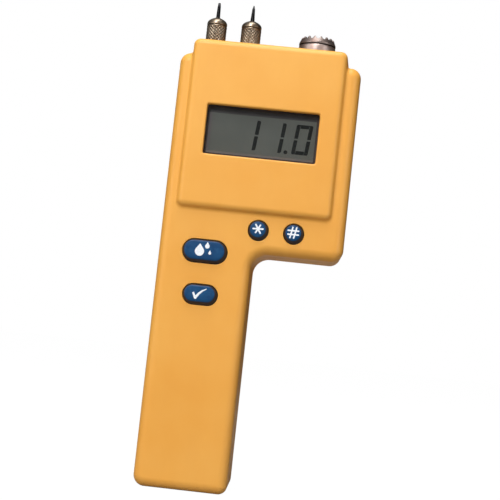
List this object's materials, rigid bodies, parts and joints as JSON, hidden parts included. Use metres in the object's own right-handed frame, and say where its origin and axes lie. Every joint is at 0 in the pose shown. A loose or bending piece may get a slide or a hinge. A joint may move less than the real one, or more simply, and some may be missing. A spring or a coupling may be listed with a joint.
{
  "type": "moisture meter",
  "caption": "Hand-held pin moisture meter for flooring: L-shaped yellow casing, raised display deck, blue buttons, contact pins in knurled retainers and a toothed probe socket.",
  "frame": {"origin": "centre of the flat end of the handle, half-way between face and back", "axes": "+Z from the handle's end towards the contact pins, +X towards the wide side of the head as seen from the face, -Y out of the face"},
  "size_m": [0.0815, 0.0405, 0.2218],
  "materials": {
    "casing_yellow": "fine moulded texture, satin",
    "case_screw_steel": "black zinc",
    "window_acrylic": "clear polished acrylic",
    "display_glass": "liquid crystal cell with grey polariser",
    "reflector_foil": "matt foil",
    "holder_black": "moulded",
    "strip_rubber": "conductive elastomer",
    "button_blue": "moulded, satin, dark sides",
    "plunger_black": "moulded",
    "switch_shell": "stamped cover",
    "board_green": "solder mask",
    "chip_black": "epoxy",
    "component_tan": "glazed",
    "screw_zinc": "bright zinc",
    "battery_jacket_blue": "printed steel jacket",
    "battery_filling": "cell stack",
    "terminal_nickel": "bright nickel",
    "snap_vinyl": "vinyl",
    "pad_foam": "cellular foam",
    "lead_red": "insulation",
    "lead_black": "insulation",
    "lead_white": "insulation",
    "lead_grey": "insulation",
    "lead_blue": "insulation",
    "post_brass": "turned, nickel flashed",
    "pin_steel": "blackened hard steel",
    "retainer_nickel": "knurled, satin nickel",
    "socket_chrome": "bright chrome",
    "insulator_ivory": "moulded"
  },
  "bodies": {
    "casing": {"front_shell": "casing_yellow", "back_shell": "casing_yellow", "case_screws": "case_screw_steel", "window_lens": "window_acrylic", "lcd_glass": "display_glass", "lcd_reflector": "reflector_foil", "lcd_holder": "holder_black", "contact_strips": "strip_rubber", "read_switch": "switch_shell", "check_switch": "switch_shell", "star_switch": "switch_shell", "hash_switch": "switch_shell", "main_board": "board_green", "processor_chip": "chip_black", "input_amplifier": "chip_black", "board_parts": "component_tan", "board_screws": "screw_zinc", "battery_jacket": "battery_jacket_blue", "battery_core": "battery_filling", "battery_terminals": "terminal_nickel", "battery_snap": "snap_vinyl", "battery_lead_red": "lead_red", "battery_lead_black": "lead_black", "left_post": "post_brass", "right_post": "post_brass", "post_nuts": "post_brass", "post_washers": "screw_zinc", "post_tags": "terminal_nickel", "left_lead": "lead_white", "right_lead": "lead_grey", "socket_barrel": "socket_chrome", "socket_insulator": "insulator_ivory", "socket_contact": "post_brass", "socket_nut": "terminal_nickel", "socket_washer": "screw_zinc", "socket_lead": "lead_blue"},
    "read_key": {"read_button": "button_blue", "read_plunger": "plunger_black"},
    "check_key": {"check_button": "button_blue", "check_plunger": "plunger_black"},
    "star_key": {"star_button": "button_blue", "star_plunger": "plunger_black"},
    "hash_key": {"hash_button": "button_blue", "hash_plunger": "plunger_black"},
    "battery_hatch": {"battery_door": "casing_yellow", "battery_pad": "pad_foam"},
    "left_electrode": {"left_pin": "pin_steel"},
    "left_collet": {"left_retainer": "retainer_nickel"},
    "right_electrode": {"right_pin": "pin_steel"},
    "right_collet": {"right_retainer": "retainer_nickel"},
    "locking_ring": {"socket_ring": "socket_chrome"}
  },
  "joints": [
    {"name": "read_press", "type": "slide", "parent": "casing", "child": "read_key", "axis": [0, 1, 0], "range_m": [0, 0.0008], "stiffness_N_per_m": 1200, "springref_m": -0.001},
    {"name": "check_press", "type": "slide", "parent": "casing", "child": "check_key", "axis": [0, 1, 0], "range_m": [0, 0.0008], "stiffness_N_per_m": 1200, "springref_m": -0.001},
    {"name": "star_press", "type": "slide", "parent": "casing", "child": "star_key", "axis": [0, 1, 0], "range_m": [0, 0.0008], "stiffness_N_per_m": 1200, "springref_m": -0.001},
    {"name": "hash_press", "type": "slide", "parent": "casing", "child": "hash_key", "axis": [0, 1, 0], "range_m": [0, 0.0008], "stiffness_N_per_m": 1200, "springref_m": -0.001},
    {"name": "door_slide", "type": "slide", "parent": "casing", "child": "battery_hatch", "axis": [0, 0, -1], "range_m": [0, 0.03]},
    {"name": "left_pin_lift", "type": "slide", "parent": "casing", "child": "left_electrode", "axis": [0, 0, 1], "range_m": [0, 0.003]},
    {"name": "left_retainer_turn", "type": "hinge", "parent": "left_electrode", "child": "left_collet", "pos_m": [-0.0072, -0.0035, 0.207], "axis": [0, 0, 1], "range_deg": [0, 1440]},
    {"name": "right_pin_lift", "type": "slide", "parent": "casing", "child": "right_electrode", "axis": [0, 0, 1], "range_m": [0, 0.003]},
    {"name": "right_retainer_turn", "type": "hinge", "parent": "right_electrode", "child": "right_collet", "pos_m": [0.0088, -0.0035, 0.207], "axis": [0, 0, 1], "range_deg": [0, 1440]},
    {"name": "ring_turn", "type": "hinge", "parent": "casing", "child": "locking_ring", "pos_m": [0.0398, -0.0035, 0.208], "axis": [0, 0, 1], "range_deg": [0, 90]}
  ],
  "couplings": [
    {"joint": "left_retainer_turn", "follows": "left_pin_lift", "rad_per_m": 8377.6},
    {"joint": "right_retainer_turn", "follows": "right_pin_lift", "rad_per_m": 8377.6}
  ]
}
